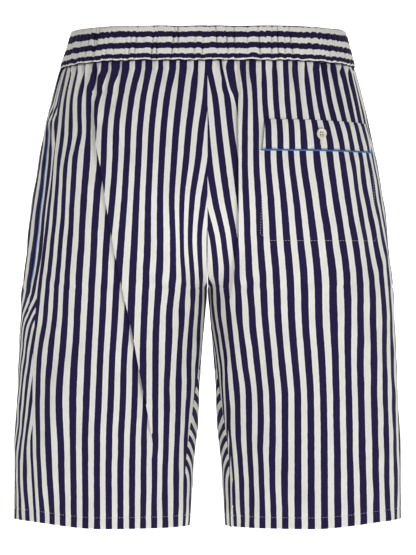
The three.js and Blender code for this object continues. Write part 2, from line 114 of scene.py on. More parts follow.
# Side pocket mouths: distance in front of the side seam
MOUTH = {"z": [-78, -95, -112, -135, -162, -215, -252], "from_seam": [25.5, 20, 15, 13, 13.5, 11, 13.5]}
MOUTH_STEP, MOUTH_SLIT, MOUTH_PIPING_RADIUS = 0.8, 2.2, 0.52
MOUTH_STRIPE, MOUTH_DENSITY = {"left": 22, "right": 25}, 0.64

# One deep lapped fold in each panel. x is the edge that shows, hides is the cloth lost in it, and
# side says which part lies on top: +1 the one towards the side seam, -1 the one towards the middle.
FOLDS = {
    "back_left": dict(
        z=[-60, -80, -101, -127, -189, -236, -309, -349, -392, -440],
        x=[117.4, 116.4, 115, 110.7, 101.4, 93, 77.9, 70.9, 62.5, 53],
        hides=13, lap=3.4, sink=2.6, lap_reach=26, sink_reach=15, side=-1, fade_in=40, fade_out=75,
    ),
    "back_right": dict(
        z=[-62, -177, -237, -273, -299, -349, -400, -465],
        x=[31.7, 32.3, 29.6, 25.5, 24, 23, 24, 27],
        hides=16, lap=3.4, sink=2.8, lap_reach=24, sink_reach=12, side=1, fade_in=40, fade_out=70,
    ),
    "front_left": dict(
        z=[-46, -150, -270, -420], x=[96, 84, 92, 70],
        hides=13, lap=3.6, sink=2.6, lap_reach=26, sink_reach=15, side=1, fade_in=50, fade_out=80,
    ),
    "front_right": dict(
        z=[-56, -170, -290, -440], x=[74, 66, 84, 96],
        hides=13, lap=3.6, sink=2.6, lap_reach=26, sink_reach=15, side=-1, fade_in=50, fade_out=80,
    ),
}
FOLD_HALF = 5.0  # the cloth turns over within this distance of the middle of the fold
FOLD_ZONE = 8.0

# Soft ridges and troughs: (top z, x), (bottom z, x), height, reach
WAVES = {
    "back_left": [
        ((-120, 34), (-250, 30), 2.4, 10), ((-330, 152), (-470, 172), 3.0, 17),
        ((-52, 92), (-96, 118), -1.6, 5), ((-250, 8), (-330, 46), 1.4, 9),
    ],
    "back_right": [
        ((-410, 56), (-486, 88), 3.0, 15), ((-130, 160), (-240, 176), -2.4, 12),
        ((-240, 10), (-300, 44), 1.4, 8), ((-260, 150), (-330, 128), 1.2, 12),
    ],
    "front_left": [
        ((-320, 150), (-480, 128), 3.0, 18), ((-130, 36), (-250, 34), 2.4, 11),
        ((-236, 6), (-300, 52), 1.8, 9), ((-60, 130), (-110, 118), -1.5, 7),
    ],
    "front_right": [
        ((-300, 142), (-470, 156), 3.0, 18), ((-120, 34), (-246, 36), 2.4, 11),
        ((-236, 6), (-310, 46), 1.8, 9), ((-64, 110), (-120, 122), -1.4, 7),
    ],
}
WAVE_FADE = 60.0

# Short creases that run down from the waistband: x at the top, bottom z and x, depth, reach
PINCHES = {
    "back_left": [
        (129.3, -84, 128.2, 1.3, 2.2), (117.9, -84, 114.9, 1.7, 2.4), (103.3, -38, 104.5, 0.9, 2.0),
        (89.8, -50, 92.9, 1.3, 2.2), (67.0, -46, 69.0, 1.1, 2.1), (49.3, -36, 50.0, 0.8, 1.8),
        (30.6, -52, 33.2, 1.2, 2.3), (11.9, -42, 12.8, 1.0, 2.0),
    ],
    "back_right": [
        (13.5, -80, 30.5, 1.8, 2.7), (41.0, -62, 40.2, 1.2, 2.2), (56.6, -46, 57.6, 1.1, 2.0),
        (70.0, -34, 70.6, 0.8, 1.8), (85.7, -54, 86.9, 1.3, 2.2), (102.3, -40, 103.6, 0.9, 2.0),
        (118.9, -58, 123.0, 1.4, 2.3), (135.5, -66, 140.7, 1.3, 2.3), (148.0, -48, 151.0, 1.0, 2.0),
    ],
    "front_left": [
        (14.0, -48, 15.5, 1.1, 2.2), (33.5, -60, 36.0, 1.4, 2.4), (51.0, -38, 51.8, 0.9, 1.9),
        (72.0, -52, 74.4, 1.2, 2.2), (93.0, -70, 95.0, 1.5, 2.4), (112.0, -44, 114.0, 1.1, 2.1),
        (131.0, -62, 135.4, 1.3, 2.3), (146.0, -42, 149.0, 0.9, 2.0),
    ],
    "front_right": [
        (11.0, -42, 12.0, 1.0, 2.0), (28.0, -66, 31.5, 1.5, 2.5), (46.5, -44, 47.6, 1.1, 2.1),
        (66.0, -58, 70.0, 1.4, 2.3), (84.0, -36, 84.8, 0.8, 1.8), (104.0, -52, 106.4, 1.2, 2.2),
        (124.0, -72, 128.8, 1.4, 2.4), (142.0, -46, 145.0, 1.0, 2.0),
    ],
}
SQUEEZE = 0.75  # how far a pinch draws the stripes beside it together
# Slow unevenness of worn cloth: height, length along the leg, length round it, turn
UNEVEN = [(0.42, 96, 61, 0.4), (0.30, 57, 38, 2.1), (0.22, 41, 88, 3.9), (0.16, 29, 24, 5.2), (0.34, 150, 47, 1.3)]

# Lie of the stripes: x of some numbered navy stripes down each back panel, on both sides of its fold
STRIPE_LEVELS = [-27, -60, -91, -122, -164, -205, -247, -288, -330, -372, -414, -501]
STRIPES = {
    "back_left": {
        "middle": {
            4: [-13, -10.5, -6.5, -3.0, 4.2, 8.4, 7.2, 8.3, 10.7, 13, 16.5, 18],
            3: [-0.6, 2.1, 6.6, 9.8, 16.2, 18.3, 15.6, 17.2, 19.3, 20.2, 22.5, 24.0],
            1: [24.6, 29.1, 32.4, 34.6, 36.7, 35.6, 36.9, 40.5, 42.2, 43.4, 44.5, 44.9],
            0: [36.8, 42.4, 45.7, 47.5, 49.2, 49.4, 51.0, 53.7, 55.3, 56.0, 55.3, 56.3],
            -3: [72.0, 79.0, 82.2, 83.4, 85.9, 89.3, 92.6, 94.3, 95.4, 94.4, 91.3, 90.9],
        },
        "side": {
            -3: [72.0, 76.1, 75.6, 75.1, 75.7, 79.4, 81.6, 83.8, 87.0, 88.3, 90.3, 90.9],
            -6: [107.4, 114.6, 115.5, 112.0, 115.6, 117.7, 120.1, 122.4, 124.4, 126.3, 127.8, 127.6],
            -8: [128.5, 134.1, 133.0, 138.6, 141.5, 143.9, 147.0, 149.0, 152.2, 154.1, 153.0, 151.4],
            -10: [143.8, 149.7, 152.0, 155.6, 158.3, 162.2, 167.0, 171.0, 176.4, 178.3, 177.1, 173.6],
        },
    },
    "back_right": {
        "middle": {
            -9: [-22.3, -16.0, -14.0, -12.0, -5.0, 5.4, 10.0, 13.0, 18.3, 19.8, 20.5, 21.0],
            -7: [1.6, 8.2, 11.4, 14.9, 20.7, 28.0, 30.7, 32.8, 30.5, 28.7, 26.0, 28.6],
        },
        "side": {
            -4: [36.3, 39.4, 38.7, 38.6, 40.0, 42.5, 45.0, 47.3, 51.5, 55.4, 56.1, 57.8],
            -2: [58.2, 59.1, 61.7, 62.2, 65.7, 68.2, 71.7, 73.6, 77.3, 80.9, 80.9, 81.2],
            1: [91.6, 94.2, 96.9, 99.0, 105.0, 110.4, 114.9, 116.1, 119.0, 121.0, 121.7, 122.3],
            4: [121.4, 126.7, 134.9, 140.6, 146.9, 154.1, 159.4, 159.9, 159.9, 160.4, 161.4, 163.5],
            7: [149.0, 156.5, 162.8, 170.0, 177.4, 185.5, 191.8, 194.4, 195.6, 196.8, 198.0, 199.5],
        },
    },
}
# The front stripes lean towards the back down each side, up to the pocket level
FRONT_LEAN = {"left": 0.27, "right": 0.12}
# The front panels are cut on a slant at the inseam: stripes gained there at each level, which is let
# out again over a distance round the leg
FRONT_FLARE = {"z": [-240, -330, -345, -390, -460, -507], "repeats": [0, 1.8, 1.4, -1.25, -3.7, -4.3]}
FLARE_START, FLARE_REACH = 30.0, 170.0
# Beside the inseam the cloth is turned: stripes lost for each millimetre, at each level
TURNED = {"z": [-262, -332, -390, -425, -460, -507], "share": [0, 0.041, 0.037, 0.019, 0, 0]}
TURNED_REACH = 40.0
LEAN_TOP, LEAN_BOTTOM, LEAN_BEND = -155.0, -412.0, 1.23


def smooth(v):
    v = np.clip(v, 0, 1)
    return v * v * (3 - 2 * v)


def mix(a, b, t):
    return a + (b - a) * t


def scatter(n):
    """An uneven number from 0 to 1 for each whole number n."""
    v = np.sin(np.asarray(n, float) * 12.9898) * 43758.5453
    return v - np.floor(v)


def curve(levels, values):
    """A smooth curve through values at falling levels, with no overshoot between them."""
    x, y = -np.asarray(levels, float), np.asarray(values, float)
    slope = np.diff(y) / np.diff(x)
    a, b = slope[:-1], slope[1:]
    same = a * b > 0
    inner = np.where(same, 2 * a * b / np.where(same, a + b, 1), 0)
    tangent = np.concatenate([slope[:1], inner, slope[-1:]])

    def at(z):
        u = np.clip(-z, x[0], x[-1])
        i = min(max(int(np.searchsorted(x, u, side="right")) - 1, 0), len(x) - 2)
        span = x[i + 1] - x[i]
        t, p, q = (u - x[i]) / span, y[i], y[i + 1]
        m, n = tangent[i] * span, tangent[i + 1] * span
        return p + t * m + t * t * (3 * (q - p) - 2 * m - n) + t**3 * (2 * (p - q) + m + n)

    return at


section = {key: curve(SECTIONS["z"], column) for key, column in SECTIONS.items() if key != "z"}
behind_side = {half: curve(seam["z"], seam["behind"]) for half, seam in SIDE_SEAMS.items()}
mouth_from_seam = curve(MOUTH["z"], MOUTH["from_seam"])
inseam_shows = curve(INSEAM_SHOWS["z"], INSEAM_SHOWS["width"])
front_flare = curve(FRONT_FLARE["z"], FRONT_FLARE["repeats"])
turned = curve(TURNED["z"], TURNED["share"])


class Loop:
    """One half of the garment at a level: points round it from the centre back, with their distances."""

    known = {}

    def __init__(self, z):
        rise = min(max((z - CROTCH) / (RISE_TURN - CROTCH), 0), 1)
        share = (1 - (1 - rise) ** 2.4) ** 0.6
        back = self.face(z, section["back"](z), share)
        front = self.face(z, section["front"](z), share)[::-1]
        points = np.concatenate([back, front[1:]])
        steps = np.hypot(*np.diff(points, axis=0).T)
        points = points[np.concatenate([[True], steps > 1e-6])]
        self.x, self.y = points.T
        self.arc = np.concatenate([[0], np.cumsum(np.hypot(np.diff(self.x), np.diff(self.y)))])
        self.length = self.arc[-1]
        self.side = self.arc[np.argmax(self.x)]
        self.below_crotch = z < CROTCH

    @staticmethod
    def face(z, depth, share):
        angle = np.linspace(0, math.pi / 2, 121)
        apex, inseam, half_width = section["apex"](z), section["inseam"](z), section["half_width"](z)
        leg_x = apex + (inseam - apex) * np.cos(angle)
        bridge = abs(depth) * share
        beyond = max(abs(depth) - bridge, 1e-6)
        softness = 0.8 * share
        reach = (abs(depth) * np.sin(angle) - bridge) / beyond
        eased = 0.5 * (reach + np.hypot(reach, softness)) / (0.5 * (1 + math.hypot(1, softness)))
        leg_y = math.copysign(1, depth) * (bridge + beyond * eased)
        side_x = apex + (half_width - apex) * np.sin(angle)
        side_y = depth * np.cos(angle)
        return np.stack([np.concatenate([leg_x, side_x[1:]]), np.concatenate([leg_y, side_y[1:]])], 1)

    def at(self, arc):
        """Points at distances round the loop, and their outward directions in the level plane."""
        reach = 1.2
        if self.below_crotch:
            place = lambda a: (np.interp(a, self.arc, self.x, period=self.length),
                               np.interp(a, self.arc, self.y, period=self.length))
        else:
            place = lambda a: (np.interp(a, self.arc, self.x), np.interp(a, self.arc, self.y))
        x, y = place(arc)
        ahead, back = place(arc + reach), place(arc - reach)
        along = np.stack([ahead[0] - back[0], ahead[1] - back[1]], -1)
        along /= np.maximum(np.linalg.norm(along, axis=-1, keepdims=True), 1e-9)
        return x, y, along[..., 1], -along[..., 0]


def loop_at(z):
    key = round(float(z), 3)
    if key not in Loop.known:
        Loop.known[key] = Loop(key)
    return Loop.known[key]


def band_drop(x, full):
    """How far the lower edge of the waistband dips at its sides."""
    return full * np.clip(abs(x) / 150, 0, 1) ** 5


def inseam_shift(z):
    """Distance round the cloth from the inner edge of the leg back to the inseam."""
    shows = inseam_shows(z)
    if z >= CROTCH or shows <= 0:
        return 0.0
    loop = loop_at(z)
    near = loop.arc < 60
    return float(np.interp(loop.x[0] + shows, loop.x[near], loop.arc[near])) * float(smooth((CROTCH - z) / 40))


class Panel:
    """One leg panel. A place on it is a level z and a distance q round the cloth from the middle seam."""

    def __init__(self, name):
        self.name = name
        self.front = name.startswith("front")
        self.half = "left" if name.endswith("left") else "right"
        self.mirror = -1 if self.half == "left" else 1
        self.fold = FOLDS[name]
        self.fold_x = curve(self.fold["z"], self.fold["x"])
        self.stripe_x = {
            part: {n: curve(STRIPE_LEVELS, xs) for n, xs in table.items()}
            for part, table in STRIPES.get(name, {}).items()
        }

    def start(self, z):
        """Below the crotch the inseam lies a little towards the back."""
        shift = inseam_shift(z)
        return (-shift if self.front else shift) + SEAM_GAP / 2

    def end(self, z):
        loop = loop_at(z)
        seam = loop.side - behind_side[self.half](z)
        return float(loop.length - seam if self.front else seam) - SEAM_GAP / 2

    def q_at_x(self, z, x):
        loop = loop_at(z)
        half = loop.arc > loop.side if self.front else loop.arc <= loop.side
        q = loop.length - loop.arc[half] if self.front else loop.arc[half]
        xs = loop.x[half]
        order = np.argsort(xs, kind="stable")
        xs, q = xs[order], q[order]
        return float(np.interp(x, xs, q)) + min(0.0, x - float(xs[0]))

    def at(self, z, q):
        loop = loop_at(z)
        x, y, out_x, out_y = loop.at(loop.length - q if self.front else np.asarray(q, float))
        return x, y, out_x, out_y

    def fold_share(self, z):
        fold = self.fold
        begun = smooth((fold["z"][0] + fold["fade_in"] / 2 - z) / fold["fade_in"])
        return float(begun * smooth((z - fold["z"][-1] + 12) / fold["fade_out"]))

    def fold_middle(self, z):
        """The distance of the fold's middle, and half the cloth that it hides."""
        hides = self.fold["hides"] / 2 * self.fold_share(z)
        turn = math.acos(min(1.0, 2 * FOLD_HALF / (math.pi * max(hides, 1e-6))))
        half_lap = hides * math.sin(turn) - FOLD_HALF * 2 * turn / math.pi
        return self.q_at_x(z, self.fold_x(z)) + self.fold["side"] * half_lap, hides

    def gathers(self, z, q):
        column = np.clip(q / self.end(z), 0, 1) * 2 * GATHERS
        seeds = np.arange(2 * GATHERS + 1) + (100 if self.front else 0) + (50 if self.half == "left" else 0)
        depth = np.interp(column, seeds - seeds[0], mix(0.6, 1.15, scatter(seeds)))
        fade = np.interp(column, seeds - seeds[0], mix(*GATHER_FADE, scatter(seeds + 7)))
        at_seams = smooth(column / 2) * smooth((2 * GATHERS - column) / 2)
        wander = 0.25 * np.sin(column * 0.9 + self.mirror) + 0.2 * np.sin(column * 2.3 + 2)
        crest = -np.cos(np.pi * (column + wander))
        fine = 0.45 * np.sin(column * 5.1 + 1.3 * np.sin(column * 0.7)) * np.exp((z - PANEL_TOP) / 11)
        push = crest * depth * GATHER_DEPTH * np.exp((z - PANEL_TOP) / fade) + fine
        return push * at_seams * smooth((z - RISE_TURN) / 60)

    def waves(self, z, q):
        push = np.zeros_like(q)
        for (top, top_x), (bottom, bottom_x), height, reach in WAVES[self.name]:
            t = min(max((z - top) / (bottom - top), 0), 1)
            full = smooth((top - z) / WAVE_FADE + 0.5) * smooth((z - bottom) / WAVE_FADE + 0.5)
            away = (q - self.q_at_x(z, mix(top_x, bottom_x, t))) / reach
            push = push + height * full * np.exp(-(away**2))
        return push

    def pinch_rows(self, z, q):
        """Distance from each pinch in reaches, its share at this level, its depth and its reach."""
        for top_x, bottom, bottom_x, depth, reach in PINCHES[self.name]:
            t = (z - PANEL_TOP) / (bottom - PANEL_TOP)
            if t < 1.0:
                yield (q - self.q_at_x(z, mix(top_x, bottom_x, t))) / reach, smooth((1 - t) * 1.3), depth, reach

    def pinched(self, z, q):
        push = np.zeros_like(q)
        for away, share, depth, _ in self.pinch_rows(z, q):
            push = push - depth * share * np.exp(-(away**2)) + 0.3 * depth * share * np.exp(-((abs(away) - 2) ** 2))
        return push

    def squeezed(self, z, q):
        """Where the cloth at q would lie if no pinch drew it in."""
        shift = np.zeros_like(q)
        for away, share, depth, reach in self.pinch_rows(z, q):
            shift = shift + SQUEEZE * depth * share * reach * away * np.exp(-((away / 1.7) ** 2))
        return q + shift

    def unevenness(self, z, q):
        turn = 1.7 * self.mirror + (2.6 if self.front else 0.0)
        return sum(
            height * np.sin(z / along * math.tau + start + turn + 1.3 * np.sin(q / across + start * 2))
            * np.cos(q / across * math.tau + start * 3 - turn)
            for height, along, across, start in UNEVEN
        ) * smooth((-40 - z) / 60)

    def mouth_step(self, z, q):
        """The pocket mouth: the cloth in front of it stands over the facing behind it."""
        if not self.front:
            return 0.0
        d = q - (self.end(z) - mouth_from_seam(z))
        share = smooth((MOUTH["z"][0] + 6 - z) / 12) * smooth((z - MOUTH["z"][-1] + 6) / 12)
        step = -MOUTH_STEP * np.tanh(d / 0.8) * np.exp(-((d / np.where(d > 0, 6.0, 12.0)) ** 2))
        slit = -MOUTH_SLIT * np.exp(-(((d + 2.4) / 1.5) ** 2))
        return share * (step + slit)

    def folded(self, z, c):
        """How far the fold lifts or sinks the cloth, at distances c along the cloth from its middle."""
        fold, full = self.fold, self.fold_share(z)
        e = fold["side"] * c
        top = fold["lap"] * np.exp(-((np.maximum(e - FOLD_HALF, 0) / fold["lap_reach"]) ** 2))
        under = -fold["sink"] * np.exp(-((np.maximum(-e - FOLD_HALF, 0) / fold["sink_reach"]) ** 2))
        return full * mix(under, top, smooth((e + FOLD_HALF) / (2 * FOLD_HALF)))

    def cloth_along(self, z, q):
        """Distance along the cloth from the fold's middle, for places away from the fold."""
        middle, hides = self.fold_middle(z)
        d = q - middle
        return np.where(d > 0, np.maximum(d + hides, FOLD_HALF), np.minimum(d - hides, -FOLD_HALF))

    def place(self, z, q, c, lift):
        """Points at height lift over the cloth, in millimetres."""
        x, y, out_x, out_y = self.at(z, q)
        edge = np.minimum(q - self.start(z), self.end(z) - q)
        calm = smooth(edge / 12)
        push = self.gathers(z, q) + calm * (self.folded(z, c) + self.waves(z, q))
        push = push + calm * self.unevenness(z, q) + self.mouth_step(z, q) + smooth(edge / 6) * self.pinched(z, q)
        push = push - 0.3 * np.exp(-((edge / 1.1) ** 2)) - 1.0 * np.exp((z - PANEL_TOP) / 2.0)
        px = x + out_x * (push + lift)
        py = y + out_y * (push + lift)
        if z > CROTCH - 8:
            px = np.maximum(px, SEAM_GAP / 2)
        rise = HEM_RISE * smooth((HEM + 120 - z) / 120) * smooth((x - 110) / 95)
        rise = rise - band_drop(x, BAND_DROP[self.half]) * np.exp((z - PANEL_TOP) / 30)
        return np.stack([self.mirror * px, py, z + rise], -1)

    def on_cloth(self, z, q, lift):
        """One point on the cloth, and its outward direction."""
        q = np.array([float(q)])
        point = self.place(z, q, self.cloth_along(z, q), lift)[0]
        _, _, out_x, out_y = self.at(z, q)
        return point, np.array([self.mirror * out_x[0], out_y[0], 0.0])

    def stripe_number(self, z, q, c):
        """Which stripe lies at each place: whole numbers are the middles of navy stripes."""
        q = self.squeezed(z, q)
        if self.front:
            return self.front_stripe_number(z, q, c)
        guides = {
            part: sorted((self.q_at_x(z, x(z)), n) for n, x in table.items())
            for part, table in self.stripe_x.items()
        }
        middle, hides = self.fold_middle(z)
        split_middle = between(guides["middle"], q)
        split_side = between(guides["side"], q)
        edges = np.array([middle - FOLD_HALF + hides, middle + FOLD_HALF - hides])
        from_n = between(guides["middle"], edges[:1])[0]
        to_n = between(guides["side"], edges[1:])[0]
        t = np.clip((c + FOLD_HALF) / (2 * FOLD_HALF), 0, 1)
        split = np.where(t <= 0, split_middle, np.where(t >= 1, split_side, mix(from_n, to_n, t)))
        joined = {n: where for where, n in guides["side"]}
        joined.update({n: where for where, n in guides["middle"]})
        whole = between(sorted((where, n) for n, where in joined.items()), q)
        return mix(whole, split, smooth(self.fold_share(z) * 4))

    def by_mouth(self, z, forward):
        """Beside the pocket mouth the stripes follow the mouth, not the side seam."""
        level = smooth((MOUTH["z"][0] + 22 - z) / 30) * smooth((z - MOUTH["z"][-1] + 48) / 45)
        return level * (1 - smooth((forward - mouth_from_seam(z) - 36) / 60))

    def mouth_stripes(self, z, forward):
        beyond = forward - mouth_from_seam(z)
        in_front = 0.2725 - beyond * MOUTH_DENSITY / REPEAT
        facing = 0.7275 + (-beyond - 3) / REPEAT
        return MOUTH_STRIPE[self.half] + np.where(beyond > 0, in_front, facing)

    def front_stripe_number(self, z, q, c):
        forward = self.end(z) - q
        lean = FRONT_LEAN[self.half]
        bent = np.maximum(0, min(z, LEAN_TOP) - LEAN_BOTTOM + LEAN_BEND * forward)
        side = (forward + lean * bent) / REPEAT
        middle = 14 + (q - self.q_at_x(z, 52)) / REPEAT
        middle = middle + front_flare(z) * (1 - smooth((q - FLARE_START) / FLARE_REACH))
        middle = middle + turned(z) * np.maximum(0, TURNED_REACH - q)
        side = mix(28 - side, self.mouth_stripes(z, forward), self.by_mouth(z, forward))
        t = smooth((c + FOLD_HALF) / (2 * FOLD_HALF))
        return mix(middle, side, t)


def between(guides, q):
    """Stripe numbers at distances q, from (distance, number) pairs, carried on past both ends."""
    where = np.array([w for w, _ in guides])
    number = np.array([n for _, n in guides], float)
    where = np.maximum.accumulate(where + np.arange(len(where)) * 1e-3)
    found = np.interp(q, where, number)
    first = (number[1] - number[0]) / (where[1] - where[0])
    last = (number[-1] - number[-2]) / (where[-1] - where[-2])
    found = np.where(q < where[0], number[0] + (q - where[0]) * first, found)
    return np.where(q > where[-1], number[-1] + (q - where[-1]) * last, found)


def cloth_grid(name, points, pattern, flip, merge=None, painted_crease_shade=None):
    """A grid of cloth through points[row, column] in mm, with its own pattern coordinates."""
    rows, columns = points.shape[:2]
    bm = bmesh.new()
    bmesh.ops.create_grid(bm, x_segments=columns - 1, y_segments=rows - 1, size=1)
    mesh = bpy.data.meshes.new(name)
    bm.to_mesh(mesh)
    bm.free()
    flat = np.empty(len(mesh.vertices) * 3)
    mesh.vertices.foreach_get("co", flat)
    j = np.rint((flat[0::3] + 1) / 2 * (columns - 1)).astype(int)
    i = np.rint((flat[1::3] + 1) / 2 * (rows - 1)).astype(int)
    mesh.vertices.foreach_set("co", (points[i, j] * MM).ravel())
    corner = np.empty(len(mesh.loops), np.int32)
    mesh.loops.foreach_get("vertex_index", corner)
    layer = mesh.uv_layers.get("cloth") or mesh.uv_layers.new(name="cloth")
    layer.data.foreach_set("uv", np.ascontiguousarray(pattern[i[corner], j[corner]], np.float32).ravel())
    # painted_crease_shade holds painted shade: how much to darken the cloth's colour at each point, used in the
    # waistband's pucker dents.
    if painted_crease_shade is not None:
        mesh.attributes.new("painted_crease_shade", "FLOAT", "POINT").data.foreach_set(
            "value", np.ascontiguousarray(painted_crease_shade[i, j], np.float32))
    bm = bmesh.new()
    bm.from_mesh(mesh)
    if merge:
        bmesh.ops.remove_doubles(bm, verts=bm.verts, dist=merge * MM)
    if flip:
        bmesh.ops.reverse_faces(bm, faces=bm.faces)
    for face in bm.faces:
        face.smooth = True
    bm.to_mesh(mesh)
    bm.free()
    return link(name, mesh)


def link(name, mesh):
    piece = bpy.data.objects.new(name, mesh)
    bpy.context.scene.collection.objects.link(piece)
    return piece


def walled(piece, thickness):
    wall = piece.modifiers.new("wall", "SOLIDIFY")
    wall.thickness = thickness * MM
    wall.offset = -1
    wall.use_even_offset = False
    return piece


def panel_levels():
    """Levels of the rows: close under the band and at the hem."""
    stretches = [(PANEL_TOP, -60, 32), (-60, -150, 32), (-150, -320, 46), (-320, HEM + 16, 44), (HEM + 16, HEM + 1, 14)]
    levels = [PANEL_TOP]
    for top, bottom, steps in stretches:
        levels += list(np.linspace(top, bottom, steps + 1)[1:])
    return levels


def panel_row(panel, z):
    """Distances round the cloth and along it for the columns of one row."""
    middle, hides = panel.fold_middle(z)
    c = np.linspace(-FOLD_ZONE, FOLD_ZONE, 37)
    zone = middle + c - hides * np.sin(np.pi / 2 * np.clip(c / FOLD_HALF, -1, 1))
    seam = np.array([0, 0.5, 1.2, 2.2, 4.0])
    before, after = (26, 112) if panel.name == "back_right" else (62, 86)
    first = np.concatenate([panel.start(z) + seam, np.linspace(panel.start(z) + 6, zone[0], before)[:-1]])
    if panel.front:
        mouth = panel.end(z) - mouth_from_seam(z)
        beside = [np.linspace(zone[-1], mouth - 7, after - 26)[1:], mouth + np.linspace(-6.3, 3.6, 21),
                  np.linspace(mouth + 4.2, panel.end(z) - 5, 8)]
    else:
        beside = [np.linspace(zone[-1], panel.end(z) - 6, after)[1:]]
    last = np.concatenate([*beside, panel.end(z) - seam[::-1]])
    along = np.concatenate([c[0] + first - zone[0], c, c[-1] + last - zone[-1]])
    return np.concatenate([first, zone, last]), along


def make_panel(panel):
    points, pattern = [], []

    def add(z, lift, v):
        q, c = panel_row(panel, z)
        row = panel.place(z, q, c, lift)
        number = panel.stripe_number(z, q, c)
        ends = [panel.place(z, q[[k]], c[[k]], lift - 3)[0] for k in (0, -1)]
        points.append(np.concatenate([[ends[0]], row, [ends[1]]]))
        number = np.concatenate([number[:1], number, number[-1:]])
        pattern.append(np.stack([number, np.full_like(number, v / REPEAT)], -1))

    for z in panel_levels():
        stitched = 0.22 * math.exp(-(((z - HEM - HEM_HEIGHT) / 1.3) ** 2))
        add(z, -stitched, -z)
    for angle in (35, 90, 145):
        turn = math.radians(angle)
        add(HEM + 1 - math.sin(turn), -0.65 * (1 - math.cos(turn)), -HEM + angle / 90)
    for height in (2, 5, 8, 11, HEM_HEIGHT):
        add(HEM + height, -1.35, -HEM + height)
    flip = panel.front == (panel.half == "left")
    piece = cloth_grid(panel.name + "_panel", np.array(points), np.array(pattern), flip)
    return walled(piece, CLOTH)


